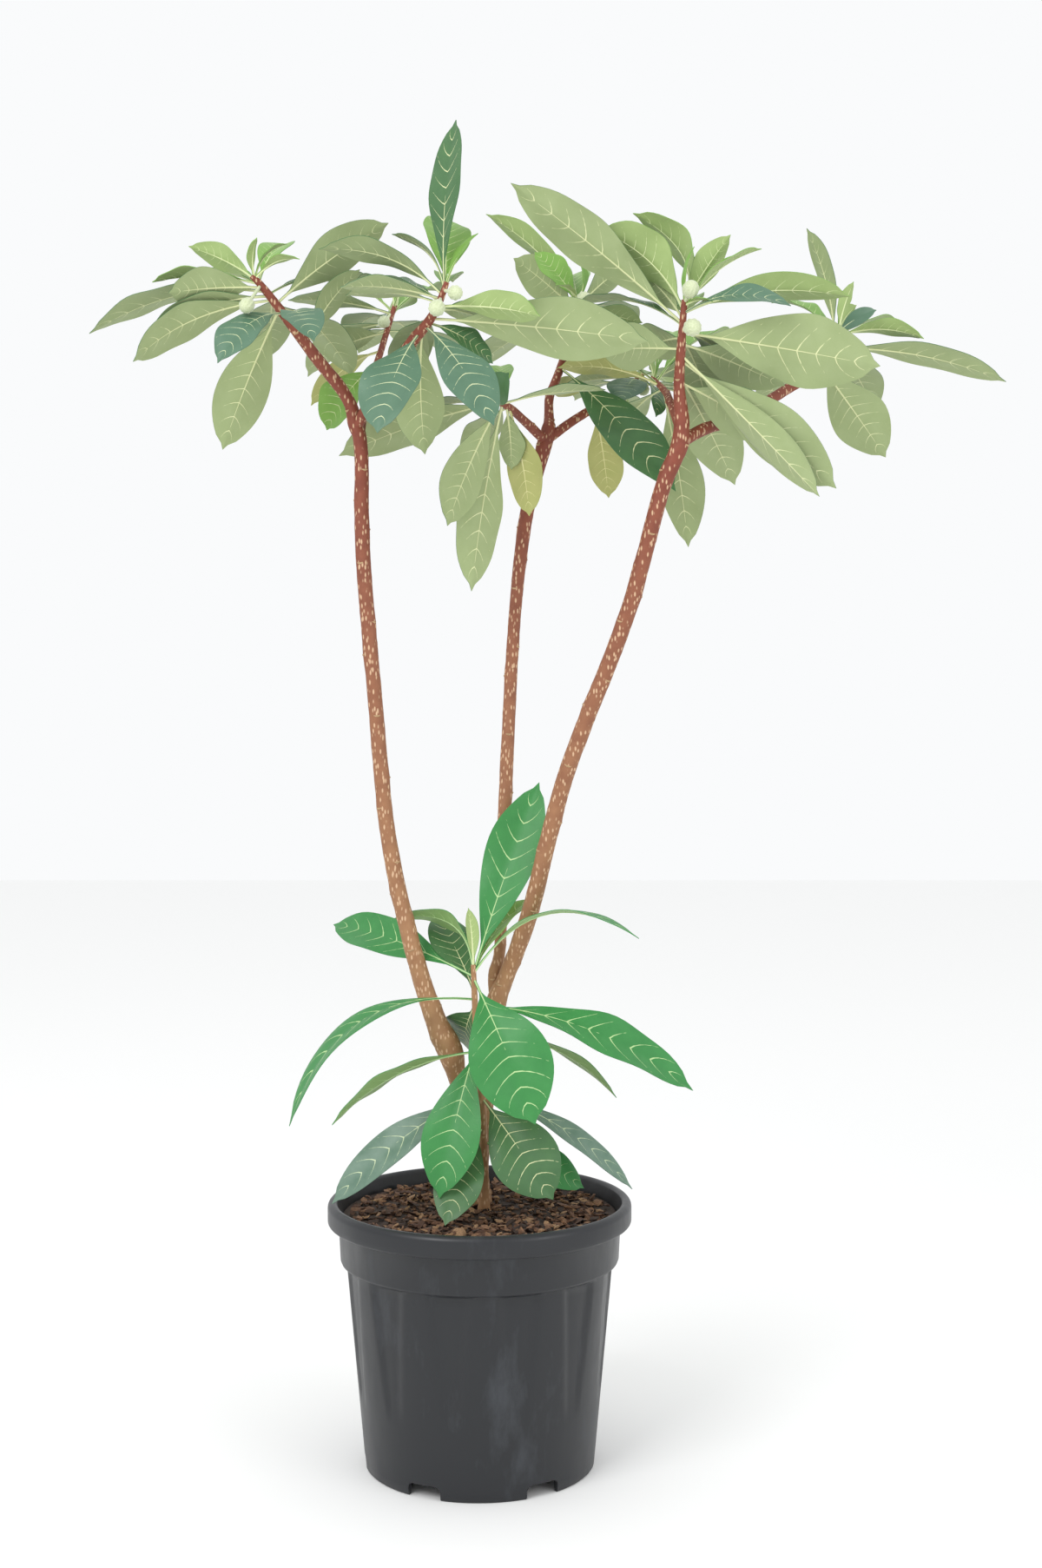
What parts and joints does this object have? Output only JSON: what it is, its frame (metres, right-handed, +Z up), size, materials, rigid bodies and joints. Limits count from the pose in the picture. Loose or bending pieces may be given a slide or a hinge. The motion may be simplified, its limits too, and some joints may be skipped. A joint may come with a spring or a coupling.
{
  "type": "potted paperbush",
  "caption": "Young leafy shrub with bare forked stems, an umbrella of long drooping leaves and silky buds, standing in a round fluted nursery pot filled with bark mulch.",
  "frame": {"origin": "centre of the pot's flat underside, on the ground", "axes": "+X to the right in the front view, +Y away from it, +Z up along the pot's axis"},
  "size_m": [0.9012, 0.4453, 1.2996],
  "materials": {
    "moulded_plastic": "black polypropylene with a soft sheen",
    "mulch": "loose chipped bark",
    "bark": "thin living bark with pale pores",
    "foliage": "soft satin leaves"
  },
  "bodies": {
    "root": {"pot": "moulded_plastic", "bark_mulch": "mulch", "trunk": "bark", "right_stem": "bark", "middle_stem": "bark", "left_stem": "bark", "young_stem": "bark", "left_outer_bough": "bark", "left_inner_bough": "bark", "left_back_bough": "bark", "middle_left_bough": "bark", "middle_centre_bough": "bark", "middle_right_bough": "bark", "right_upper_bough": "bark", "right_outer_bough": "bark", "right_back_bough": "bark", "leaves_left_outer": "foliage", "leaves_left_inner": "foliage", "leaves_left_back": "foliage", "leaves_middle_left": "foliage", "leaves_middle_centre": "foliage", "leaves_middle_right": "foliage", "leaves_right_upper": "foliage", "leaves_right_outer": "foliage", "leaves_right_back": "foliage", "leaves_young": "foliage"}
  },
  "joints": []
}
